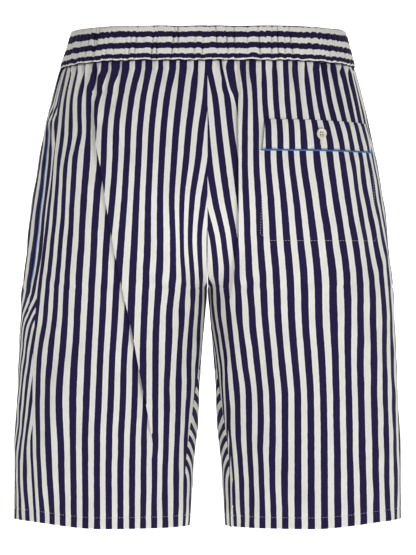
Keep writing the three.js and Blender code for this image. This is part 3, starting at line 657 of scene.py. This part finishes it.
def make_waistband():
    """The band is a closed tube of cloth round the elastic: out, over the top, down inside and under."""
    columns = BAND_COLUMNS
    rng = np.random.default_rng(7)
    total = 2 * loop_at(0).length
    mm_around = np.arange(columns) / columns * total
    pucker_at = (np.arange(PUCKERS) + rng.uniform(-0.42, 0.42, PUCKERS)) / PUCKERS * total
    pucker_deep = rng.uniform(0.0, 1.0, PUCKERS) ** 1.1
    pucker_wide = rng.uniform(0.55, 1.0, PUCKERS)
    pucker_lean = rng.uniform(-1.6, 1.6, PUCKERS)
    pucker_middle = rng.uniform(0.15, 0.85, PUCKERS)
    pucker_long = rng.uniform(0.3, 0.8, PUCKERS)
    pucker_pull = rng.uniform(-0.25, 1.0, (3, PUCKERS))
    puff_slip = rng.uniform(-0.45, 0.45, (3, PUCKERS))

    half = BAND_THICK / 2
    profile = [(mix(BAND_BOTTOM + 0.9, BAND_TOP - half, k / 19), half) for k in range(20)]
    for angle in (40, 90, 140):
        turn = math.radians(angle)
        profile.append((BAND_TOP - half + half * math.sin(turn), half * math.cos(turn)))
    profile += [(mix(BAND_TOP - half, BAND_BOTTOM + 0.9, k / 6), -half) for k in range(7)]
    for angle in (140, 90, 40):
        turn = math.radians(angle)
        profile.append((BAND_BOTTOM + 0.9 - 0.9 * math.sin(turn), half * math.cos(turn)))
    profile.append(profile[0])

    length = np.concatenate([[0], np.cumsum(np.hypot(*np.diff(np.array(profile), axis=0).T))])
    top = length[21]
    points, pattern, painted_crease_shade = [], [], []
    for (z, offset), run in zip(profile, length):
        loop = loop_at(z)
        arc = np.arange(columns) / columns * 2 * loop.length
        left = arc > loop.length
        x, y, out_x, out_y = loop.at(np.where(left, 2 * loop.length - arc, arc))
        share = (z - BAND_BOTTOM) / (BAND_TOP - BAND_BOTTOM)
        puff = math.sin(math.pi * share) ** 0.6 if 0 < share < 1 else 0.0
        zone = min(max(share, 0), 1) * 2
        low = min(int(zone), 1)
        pull_here = mix(pucker_pull[low], pucker_pull[low + 1], zone - low)
        slip_here = mix(puff_slip[low], puff_slip[low + 1], zone - low)
        push, drawn, pucker_shade = np.zeros(columns), np.zeros(columns), np.zeros(columns)
        middles = pucker_at + pucker_lean * (share - 0.5) * 2
        for k in range(PUCKERS):
            away = (mm_around - middles[k] + total / 2) % total - total / 2
            tall = math.exp(-(((share - pucker_middle[k]) / pucker_long[k]) ** 2))
            dent = pucker_deep[k] * tall * np.exp(-((away / pucker_wide[k]) ** 2))
            push -= PUCKER_DEPTH * dent
            # Painted shade: a narrow dark line down the middle of each deep pucker, darkened into the band's colour as
            # if shadowed.
            pucker_shade += max(0.0, pucker_deep[k] - 0.2) / 0.7 * tall * np.exp(-((away / 0.45) ** 2))
            drawn += pull_here[k] * (0.25 + pucker_deep[k]) * np.exp(-((away / (pucker_wide[k] + 0.9)) ** 2))
        order = np.argsort(middles)
        cell = np.searchsorted(middles[order], mm_around) % PUCKERS
        ends = np.append(middles[order], middles[order][0] + total)
        starts = np.where(cell == 0, middles[order][-1] - total, ends[cell - 1])
        width = np.maximum(np.where(cell == 0, ends[0] - starts, ends[cell] - starts), 1.0)
        within = np.clip((mm_around - starts) / width, 0, 1)
        bulge = np.sin(np.pi * within) ** 0.7
        ripple = np.sin(mm_around / RIPPLE * math.tau + 2.2 * np.sin(mm_around / 17) + 1.6 * np.sin(mm_around / 5.3 + 1))
        soft = 0.12 * ripple + 0.55 * bulge + 0.25 * np.sin(mm_around / 9.7 + 2)
        stitched = -0.35 * math.exp(-(((z - BAND_BOTTOM) / 1.6) ** 2)) if offset > 0 else 0.0
        outer = push * (0.35 + 0.65 * puff) + soft * (0.4 + 0.6 * puff) + 0.5 * puff + stitched
        lift = BAND_PROUD - half + offset + (outer if offset > 0 else outer * 0.25)
        if share > 0.5:
            edge_wave = 0.3 * np.sin(mm_around / 11 + 2 * np.sin(mm_around / 31))
        else:
            edge_wave = 0.35 * np.sin(mm_around / 2.1 + 2.5 * np.sin(mm_around / 13)) + 0.3 * np.sin(mm_around / 5.7)
        dip = band_drop(x, np.where(left, BAND_DROP["left"], BAND_DROP["right"])) * smooth((BAND_TOP - 2 - z) / 14)
        px = np.where(left, -1, 1) * (x + out_x * lift)
        px = px + BAND_LEAN * min(max(share, 0), 1) * np.clip(-px / 147, 0, 1) ** 3
        points.append(np.stack([px, y + out_y * lift, z + edge_wave * abs(2 * share - 1) - dip], -1))
        side = 1 if run <= top else -1
        depth = abs(top - run)
        slipped = (0.95 * drawn - 0.6 * bulge + 0.45 + slip_here[order][cell] * bulge) * smooth((share - 0.02) * 12)
        over_top = smooth((np.where(left, -x, x) + 75) / 60) * smooth((np.where(left, -x, x) - 150) / -60)
        slipped = slipped + (1.7 * over_top * math.exp(-depth / 3.0) if offset > 0 else 0.0)
        # The painted shade goes only on the outside of the band.
        painted_crease_shade.append(np.clip(pucker_shade, 0, 1) if offset > 0 else np.zeros(columns))
        pattern.append(np.stack([mm_around / REPEAT, (side * depth - slipped) / BAND_REPEAT], -1))
    points, pattern, painted_crease_shade = np.array(points), np.array(pattern), np.array(painted_crease_shade)
    points = np.concatenate([points, points[:, :1]], 1)
    painted_crease_shade = np.concatenate([painted_crease_shade, painted_crease_shade[:, :1]], 1)
    last = pattern[:, :1].copy()
    last[..., 0] = total / REPEAT
    pattern = np.concatenate([pattern, last], 1)
    return cloth_grid("waistband_cloth", points, pattern, False, merge=0.001, painted_crease_shade=painted_crease_shade)


def make_flap(panel):
    """The flap lies on the panel. Its top is sewn down, and its edge towards the middle stands free."""
    levels = np.linspace(FLAP_TOP, FLAP_BOTTOM, 30)
    count = 110
    points, pattern = [], []
    for z in levels:
        down = (FLAP_TOP - z) / (FLAP_TOP - FLAP_BOTTOM)
        start = panel.q_at_x(z, mix(FLAP_INNER_TOP_X, FLAP_INNER_BOTTOM_X, down))
        end = loop_at(z).side - mix(FLAP_TOP_BEHIND, FLAP_BOTTOM_BEHIND, down)
        q = np.linspace(start, end, count)
        c = panel.cloth_along(z, q)
        free = 1.3 * np.exp(-((q - start) / 6) ** 2) * smooth(down * 3)
        pull = -0.5 * np.exp(-((q - panel.q_at_x(BUTTON_Z, BUTTON_X)) / 9) ** 2 - ((z - BUTTON_Z) / 9) ** 2)
        sewn = -0.5 * math.exp(-((z - FLAP_TOP + 1.5) / 1.2) ** 2)
        sewn = sewn - 0.35 * math.exp(-((z - FLAP_BOTTOM - 2) / 1.0) ** 2)
        lift = 1.5 + 0.4 * smooth(down * 2) + free + pull + sewn + 0.25 * np.sin(q / 13 + 1)
        row = panel.place(z, q, c, lift)
        row[:, 2] -= mix(FLAP_TOP_DROP, FLAP_BOTTOM_DROP, down) * ((q - start) / (end - start)) ** 2
        points.append(row)
        number = panel.stripe_number(z, q, c) - 0.10
        pattern.append(np.stack([number, np.full_like(number, -z / REPEAT)], -1))
    return walled(cloth_grid("pocket_flap_cloth", np.array(points), np.array(pattern), True), FLAP_THICK)


def cord_grid(name, path, out, radius, sides=12):
    """A covered cord along a path, closed at both ends, with its cover's pattern running round it."""
    path = np.asarray(path, float)
    along = np.gradient(path, axis=0)
    along /= np.linalg.norm(along, axis=1, keepdims=True)
    out = np.asarray(out, float)
    across = np.cross(along, out)
    across /= np.linalg.norm(across, axis=1, keepdims=True)
    up = np.cross(across, along)
    angle = np.linspace(0, 2 * math.pi, sides + 1)
    ring = up[:, None] * np.cos(angle)[None, :, None] + across[:, None] * np.sin(angle)[None, :, None]
    points = path[:, None] + ring * radius
    caps = []
    for end, way in ((0, -1), (-1, 1)):
        rings = [path[end] + along[end] * way * radius * 0.6 + ring[end] * radius * 0.75,
                 path[end] + along[end] * way * radius * 0.95 + ring[end] * 1e-4]
        caps.append(rings if way > 0 else rings[::-1])
    points = np.concatenate([np.array(caps[0]), points, np.array(caps[1])])
    run = np.concatenate([[0], np.cumsum(np.linalg.norm(np.diff(path, axis=0), axis=1))])
    run = np.concatenate([[-2 * radius, -radius], run, [run[-1] + radius, run[-1] + 2 * radius]])
    pattern = np.stack(np.broadcast_arrays(angle[None] * radius / REPEAT, run[:, None] / REPEAT), -1)
    return cloth_grid(name, points, pattern, True, merge=0.001)


def flap_piping(panel):
    path, out = [], []
    z = FLAP_BOTTOM - PIPING_RADIUS - 0.2
    start, end = panel.q_at_x(z, FLAP_INNER_BOTTOM_X), loop_at(z).side - FLAP_BOTTOM_BEHIND
    for q in np.linspace(start - 0.5, end, 90):
        point, away = panel.on_cloth(z, q, 1.5)
        point[2] -= FLAP_BOTTOM_DROP * ((q - start) / (end - start)) ** 2
        path.append(point)
        out.append(away)
    return cord_grid("flap_piping_cord", path, out, PIPING_RADIUS)


def mouth_piping(panel):
    path, out = [], []
    for z in np.linspace(MOUTH["z"][0], MOUTH["z"][-1], 90):
        q = panel.end(z) - mouth_from_seam(z)
        point, away = panel.on_cloth(z, q - 0.5, 0.35)
        path.append(point)
        out.append(away)
    return cord_grid("side_pocket_cord_" + panel.half, path, out, MOUTH_PIPING_RADIUS)


def facing(out):
    """Turns a shape made facing +Z so that it faces out of the cloth, with its Y up."""
    out = Vector(out).normalized()
    up = Vector((0, 0, 1))
    across = up.cross(out).normalized()
    return Matrix((across, up, out)).transposed().to_4x4()


def button_seat(panel):
    q = panel.q_at_x(BUTTON_Z, BUTTON_X)
    return panel.on_cloth(BUTTON_Z, q, 2.0)


def make_button(panel):
    """A four-hole button with a raised rim, turned from a profile and bored."""
    centre, out = button_seat(panel)
    bm = bmesh.new()
    r, t = BUTTON_RADIUS, BUTTON_THICK
    profile = [(0, 0), (r - 0.9, 0), (r - 0.2, 0.35), (r, 0.9), (r - 0.15, 1.55), (r - 0.6, t), (r - 1.15, t - 0.05),
               (r - 1.6, t - 0.6), (r - 2.1, t - 0.85), (0, t - 0.85)]
    verts = [bm.verts.new((x * MM, 0, z * MM)) for x, z in profile]
    edges = [bm.edges.new(pair) for pair in zip(verts, verts[1:])]
    bmesh.ops.spin(bm, geom=verts + edges, cent=(0, 0, 0), axis=(0, 0, 1), steps=64, angle=math.tau, use_merge=True)
    bmesh.ops.remove_doubles(bm, verts=bm.verts, dist=1e-6)
    bmesh.ops.recalc_face_normals(bm, faces=bm.faces)
    mesh = bpy.data.meshes.new("button")
    bm.to_mesh(mesh)
    bm.free()
    piece = link("flap_button", mesh)
    drill = bmesh.new()
    for sx, sy in ((1, 1), (-1, 1), (-1, -1), (1, -1)):
        bmesh.ops.create_cone(drill, cap_ends=True, segments=16, radius1=0.85 * MM, radius2=0.85 * MM, depth=8 * MM,
                              matrix=Matrix.Translation((sx * HOLE_OUT * MM, sy * HOLE_OUT * MM, 0)))
    tool_mesh = bpy.data.meshes.new("drill")
    drill.to_mesh(tool_mesh)
    drill.free()
    tool = link("drill", tool_mesh)
    bore = piece.modifiers.new("holes", "BOOLEAN")
    bore.operation, bore.object, bore.solver = "DIFFERENCE", tool, "EXACT"
    bored = bpy.data.meshes.new_from_object(piece.evaluated_get(bpy.context.evaluated_depsgraph_get()))
    piece.modifiers.clear()
    piece.data = bored
    bpy.data.objects.remove(tool)
    bored.transform(Matrix.Translation(Vector(centre) * MM) @ facing(out))
    bored.shade_smooth()
    return piece


def shaded_hole_threads(panel):
    """The thread that goes down into each hole of the button. It is navy, painted shade that makes the holes show dark
    as if shadowed.
    """
    centre, out = button_seat(panel)
    turn = facing(out)
    across, up = np.array(turn.col[0][:3]), np.array(turn.col[1][:3])
    bm = bmesh.new()
    for side in (-1, 1):
        for height in (-1, 1):
            middle = centre + out * (BUTTON_THICK - 1.25) + (across * side + up * height) * HOLE_OUT
            capsule(bm, middle, up, out, 1.5, 0.7)
    return stitched_piece("flap_button_painted_hole_shade", bm)


def buttonhole(panel):
    """The stitched bar of the buttonhole below the button."""
    _, out = button_seat(panel)
    across = np.array(facing(out).col[0][:3])
    bm = bmesh.new()
    for z in np.arange(BUTTON_Z - BUTTON_RADIUS - 0.8, FLAP_BOTTOM + 4.5, -0.8):
        point, away = panel.on_cloth(z, panel.q_at_x(z, BUTTON_X - 0.4), 1.95)
        capsule(bm, point, across, away, 2.6, 0.3)
    return stitched_piece("flap_buttonhole", bm)


def flap_edge_shadow_path(panel):
    """A dark stitched line round the flap, painted shade for the shadow of the gap under its edges: down its free edge,
    along above the piping and up its far end.
    """
    line = []
    for z in np.linspace(FLAP_TOP - 2, FLAP_BOTTOM + 0.6, 40):
        down = (FLAP_TOP - z) / (FLAP_TOP - FLAP_BOTTOM)
        q = panel.q_at_x(z, mix(FLAP_INNER_TOP_X, FLAP_INNER_BOTTOM_X, down)) + 0.1
        line.append(panel.on_cloth(z, q, 1.9 + 1.3 * float(smooth(down * 3))))
    z = FLAP_BOTTOM + 0.6
    start, end = panel.q_at_x(z, FLAP_INNER_BOTTOM_X), loop_at(z).side - FLAP_BOTTOM_BEHIND
    for q in np.linspace(start + 0.6, end, 120):
        point, away = panel.on_cloth(z, q, 1.72 + 1.2 * math.exp(-(((q - start) / 6) ** 2)))
        point[2] -= FLAP_BOTTOM_DROP * ((q - start) / (end - start)) ** 2
        line.append((point, away))
    return line


def capsule(bm, middle, along, out, length, radius):
    """One stitch: a small rounded grain that lies along the seam."""
    along = Vector(along).normalized()
    out = Vector(out).normalized()
    across = out.cross(along).normalized()
    turn = Matrix((along, across, out)).transposed().to_4x4()
    size = Matrix.Diagonal((length / 2 * MM, radius * MM, radius * MM, 1))
    matrix = Matrix.Translation(Vector(middle) * MM) @ turn @ size
    bmesh.ops.create_icosphere(bm, subdivisions=1, radius=1, matrix=matrix)


def stitched_piece(name, bm):
    mesh = bpy.data.meshes.new(name)
    bm.to_mesh(mesh)
    bm.free()
    mesh.shade_smooth()
    return link(name, mesh)


def stitches(name, runs, length=2.2, gap=0.9, radius=0.26):
    """Runs of stitches along lines of (point, outward direction)."""
    bm = bmesh.new()
    for line in runs:
        points = np.array([p for p, _ in line])
        outs = np.array([o for _, o in line])
        run = np.concatenate([[0], np.cumsum(np.linalg.norm(np.diff(points, axis=0), axis=1))])
        for s in np.arange(length / 2, run[-1] - length / 2, length + gap):
            here = [np.interp(s, run, points[:, k]) for k in range(3)]
            ahead = [np.interp(s + length / 2, run, points[:, k]) for k in range(3)]
            back = [np.interp(s - length / 2, run, points[:, k]) for k in range(3)]
            out = [np.interp(s, run, outs[:, k]) for k in range(3)]
            capsule(bm, here, np.subtract(ahead, back), out, length, radius)
    return stitched_piece(name, bm)


def level_line(panel, z, start, end, lift, steps=160):
    return [panel.on_cloth(z, q, lift) for q in np.linspace(start, end, steps)]



class Wire:
    """A socket of a finish. Sums and products of wires and numbers add Math nodes."""

    def __init__(self, finish, socket):
        self.finish, self.socket = finish, socket

    def maths(self, operation, *values):
        return self.finish.node("Math", {"operation": operation}, dict(enumerate(values)))

    def __add__(self, other):
        return self.maths("ADD", self, other)

    def __sub__(self, other):
        return self.maths("SUBTRACT", self, other)

    def __rsub__(self, other):
        return self.maths("SUBTRACT", other, self)

    def __mul__(self, other):
        return self.maths("MULTIPLY", self, other)

    def __truediv__(self, other):
        return self.maths("DIVIDE", self, other)

    __radd__, __rmul__ = __add__, __mul__

    def clamped(self):
        return self.maths("MINIMUM", self.maths("MAXIMUM", self, 0.0), 1.0)

    def of(self, operation):
        return self.maths(operation, self)


class Finish:
    """A material built from nodes."""

    def __init__(self, name, **constants):
        self.material = bpy.data.materials.new(name)
        self.material.use_nodes = True
        self.tree = self.material.node_tree
        self.shader = self.tree.nodes["Principled BSDF"]
        for socket, value in constants.items():
            self.shader.inputs[socket.replace("_", " ")].default_value = value

    def node(self, kind, settings, inputs, output=0):
        made = self.tree.nodes.new("ShaderNode" + kind)
        for key, value in settings.items():
            setattr(made, key, value)
        for key, value in inputs.items():
            if isinstance(value, Wire):
                self.tree.links.new(value.socket, made.inputs[key])
            else:
                made.inputs[key].default_value = value
        return Wire(self, made.outputs[output])

    def feed(self, socket, wire):
        self.tree.links.new(wire.socket, self.shader.inputs[socket])

    def cloth_coordinates(self):
        uv = self.node("UVMap", {"uv_map": "cloth"}, {})
        return uv, self.node("SeparateXYZ", {}, {0: uv}), self.node("SeparateXYZ", {}, {0: uv}, 1)

    def noise(self, vector, scale, detail=2.0, stretch=(1, 1, 1)):
        spread = self.node("Mapping", {}, {"Vector": vector, "Scale": stretch})
        return self.node("TexNoise", {}, {"Vector": spread, "Scale": scale, "Detail": detail})

    def blend(self, factor, a, b):
        return self.node("Mix", {"data_type": "RGBA"}, {0: factor, 6: a, 7: b}, 2)


def srgb(red, green, blue):
    def linear(v):
        v /= 255
        return v / 12.92 if v <= 0.04045 else ((v + 0.055) / 1.055) ** 2.4

    return (linear(red), linear(green), linear(blue), 1)


WHITE, WHITE_EDGE = srgb(232, 230, 223), srgb(245, 243, 232)
NAVY, NAVY_EDGE = srgb(34, 26, 68), srgb(20, 8, 60)
BAND_WHITE, BAND_WHITE_RIM = srgb(228, 225, 218), srgb(236, 233, 225)
BAND_NAVY, BAND_NAVY_RIM = srgb(30, 21, 60), srgb(20, 9, 54)
THREADS, RIBS = 34.0, 7.0  # threads and fine ribs to a repeat of the cloth
STRIPE_EDGE = 34.0  # a stripe's colour changes within one thread


def striped_finish(name, whites, navies, across, wobble, share):
    """Woven stripes, denser at their edges. across picks the coordinate that the stripes follow. On the waistband,
    painted shade darkens the colour along the pucker dents.
    """
    finish = Finish(name, Roughness=0.88, Sheen_Weight=0.03, Sheen_Roughness=0.5)
    finish.shader.inputs["Specular IOR Level"].default_value = 0.16
    uv, u, v = finish.cloth_coordinates()
    uneven = finish.noise(uv, 1.6, 2.0) if across == 0 else finish.noise(uv, 5.0, 3.0, (1, 0.5, 1))
    fuzz = finish.noise(uv, 26.0, 1.0, (1, 0.5, 1)) if across == 0 else finish.noise(uv, 11.0, 2.0, (1, 0.35, 1))
    counted = (u if across == 0 else v) + (uneven - 0.5) * wobble + (fuzz - 0.5) * (0.02 if across == 0 else 0.12)
    shift = 0.5 if across == 0 else 0.5 - BAND_FIRST_NAVY / BAND_REPEAT
    away = ((counted + shift).of("FRACT") - 0.5).of("ABSOLUTE")
    navy_here = ((share / 2 - away) * STRIPE_EDGE + 0.5).clamped()
    if across == 1:
        above_edge = ((BAND_WHITE_EDGE / BAND_REPEAT - counted) * STRIPE_EDGE + 0.5).clamped()
        navy_here = navy_here * above_edge
    warp = finish.noise(uv, 60.0, 1.0, (1, 0.06, 1))
    weft = finish.noise(uv, 60.0, 1.0, (0.06, 1, 1))
    cloudy = finish.noise(uv, 0.35, 2.0)
    ribs = (counted * (RIBS * math.tau)).of("SINE") if across == 0 else (u * (RIBS * math.tau)).of("SINE")
    shade = 0.88 + 0.10 * warp + 0.09 * weft + (cloudy - 0.5) * 0.05 + ribs * 0.02
    # Painted shade: darkens the band's colour by up to 72 % along its pucker dents, from the painted_crease_shade
    # attribute.
    if across == 1:
        painted_crease_shade = finish.node("Attribute", {"attribute_name": "painted_crease_shade"}, {}, 2)
        shade = shade * (1.0 - painted_crease_shade * 0.72)
    inside = ((away - share / 2).of("ABSOLUTE") * 11.0).clamped()
    white = finish.blend(inside, whites[1], whites[0])
    navy = finish.blend(inside, navies[1], navies[0])
    colour = finish.blend(navy_here, white, navy)
    grey = finish.node("CombineXYZ", {}, {0: shade, 1: shade, 2: shade})
    finish.feed("Base Color", finish.node("VectorMath", {"operation": "MULTIPLY"}, {0: colour, 1: grey}))
    threads_u = (u * (THREADS * math.tau)).of("SINE")
    threads_v = (v * (THREADS * math.tau)).of("SINE")
    slub = finish.noise(uv, 9.0, 3.0, (1, 0.35, 1))
    height = threads_u * threads_v * 0.12 + slub * 0.9
    finish.feed("Normal", finish.node("Bump", {}, {"Strength": 0.22, "Distance": 0.0004, "Height": height}))
    return finish.material


def plain_finish(name, colour, grain, **constants):
    """One colour with a slight unevenness and a fine grain."""
    finish = Finish(name, **constants)
    place = finish.node("TexCoord", {}, {}, 3)
    soft = finish.node("TexNoise", {}, {"Vector": place, "Scale": grain, "Detail": 2.0})
    dark = tuple(c * 0.82 for c in colour[:3]) + (1,)
    finish.feed("Base Color", finish.blend(soft, dark, colour))
    finish.feed("Normal", finish.node("Bump", {}, {"Strength": 0.2, "Distance": 0.0002, "Height": soft}))
    return finish.material


striped = striped_finish("striped poplin", (WHITE, WHITE_EDGE), (NAVY, NAVY_EDGE), 0, 0.05, NAVY_SHARE)
band_whites, band_navies = (BAND_WHITE, BAND_WHITE_RIM), (BAND_NAVY, BAND_NAVY_RIM)
band_striped = striped_finish("waistband poplin", band_whites, band_navies, 1, 0.17, BAND_NAVY_SHARE)
piping_blue = plain_finish("blue piping cotton", srgb(62, 108, 172), 1400.0, Roughness=0.8)
resin = plain_finish("cream button resin", srgb(236, 228, 208), 260.0, Roughness=0.32)
thread_white = plain_finish("off-white thread", srgb(238, 234, 224), 2500.0, Roughness=0.7)
# Painted shade: this navy thread fills the button holes and lines the flap's edges, dark where those places lie in
# shadow.
shade_navy_thread = plain_finish("navy thread for painted shade", srgb(44, 38, 72), 2500.0, Roughness=0.7)


def finished(piece, material, node=None):
    piece.data.materials.clear()
    piece.data.materials.append(material)
    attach(piece, "root")
    if node:
        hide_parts(node)
    return piece


panels = {name: Panel(name) for name in FOLDS}
waistband = finished(make_waistband(), band_striped, "waistband")
for name, panel in panels.items():
    finished(make_panel(panel), striped, name)
back_right = panels["back_right"]
flap = finished(make_flap(back_right), striped, "back_pocket_flap")
finished(flap_piping(back_right), piping_blue, "back_pocket_piping")
for half in ("left", "right"):
    finished(mouth_piping(panels["front_" + half]), piping_blue, "side_pocket_piping_" + half)
finished(make_button(back_right), resin, "back_pocket_button")
# The navy thread in the button holes is painted shade.
finished(shaded_hole_threads(back_right), shade_navy_thread)
finished(buttonhole(back_right), thread_white)
# Painted shade: navy stitches drawn where the gap under the flap's edges lies in shadow.
flap_shadow_stitches = stitches("flap_edge_shadow_stitching", [flap_edge_shadow_path(back_right)], length=2.2, gap=-0.3, radius=0.3)
finished(flap_shadow_stitches, shade_navy_thread)

hem_z = HEM + HEM_HEIGHT
hem_runs = [level_line(p, hem_z, p.start(hem_z) + 1, p.end(hem_z) - 1, -0.12) for p in panels.values()]
finished(stitches("hem_stitching", hem_runs, length=1.8, gap=1.2, radius=0.17), thread_white)


def bag_outline(panel):
    """The pocket bag is sewn through the panel: down one side, across with cut corners, and up again."""
    line = []
    inner = curve([-116, -150, BAG_BOTTOM + BAG_CORNER], [57.5, 56.5, 55.4])
    outer_x = curve([-116, -205], [171.5, 180.5])
    for z in np.linspace(-117, BAG_BOTTOM + BAG_CORNER, 40):
        line.append(panel.on_cloth(z, panel.q_at_x(z, inner(z)), 0.02))
    corner_q = panel.q_at_x(BAG_BOTTOM, inner(BAG_BOTTOM) + BAG_CORNER)
    end_q = panel.q_at_x(BAG_BOTTOM, outer_x(BAG_BOTTOM)) - BAG_CORNER
    for q in np.linspace(corner_q, end_q, 80):
        line.append(panel.on_cloth(BAG_BOTTOM, q, 0.02))
    for z in np.linspace(BAG_BOTTOM + BAG_CORNER, -117, 40):
        line.append(panel.on_cloth(z, panel.q_at_x(z, outer_x(z)), 0.02))
    return line


bag_line = stitches("pocket_bag_stitching", [bag_outline(back_right)], length=2.4, gap=0.6, radius=0.17)
finished(bag_line, thread_white)

# The studio: a pale floor and backdrop, a key light, a fill and a soft light in front of the wearer
STAGE_HALF, FLOOR_Z, BACKDROP_Y = 9.5, -0.95, 9.0  # metres


def stage_plane(name, place):
    """One large flat surface of the studio."""
    mesh = bpy.data.meshes.new(name)
    bm = bmesh.new()
    bmesh.ops.create_grid(bm, x_segments=1, y_segments=1, size=STAGE_HALF)
    bm.to_mesh(mesh)
    bm.free()
    mesh.transform(place)
    return link(name, mesh)


floor = stage_plane("floor", Matrix.Translation((0, 0, FLOOR_Z)))
upright = Matrix.Rotation(math.radians(90), 4, "X")
backdrop = stage_plane("backdrop", Matrix.Translation((0, BACKDROP_Y, 0)) @ upright)
studio = Finish("pale studio", Roughness=0.9)
studio.shader.inputs["Base Color"].default_value = (0.9, 0.9, 0.9, 1)
studio.shader.inputs["Emission Color"].default_value = (1, 1, 1, 1)
studio.shader.inputs["Emission Strength"].default_value = 0.75
for surface in (floor, backdrop):
    surface.data.materials.append(studio.material)

world = bpy.data.worlds.new("studio")
world.use_nodes = True
world.node_tree.nodes["Background"].inputs["Color"].default_value = (1, 1, 1, 1)
world.node_tree.nodes["Background"].inputs["Strength"].default_value = 0.22
bpy.context.scene.world = world
bpy.context.scene.view_settings.view_transform = "Standard"

for name, place, size, power in (
    ("key light", (1.5, -2.8, -0.75), 0.8, 34.0),
    ("fill light", (-2.4, -2.2, -0.7), 2.0, 15.0),
    ("front light", (0.6, 3.0, 1.2), 2.0, 26.0),
):
    lamp = bpy.data.lights.new(name, "AREA")
    lamp.size, lamp.energy = size, power
    light = bpy.data.objects.new(name, lamp)
    bpy.context.scene.collection.objects.link(light)
    light.location = place
    aim = Vector((0, 0, -0.24)) - Vector(place)
    light.rotation_euler = aim.to_track_quat("-Z", "Y").to_euler()
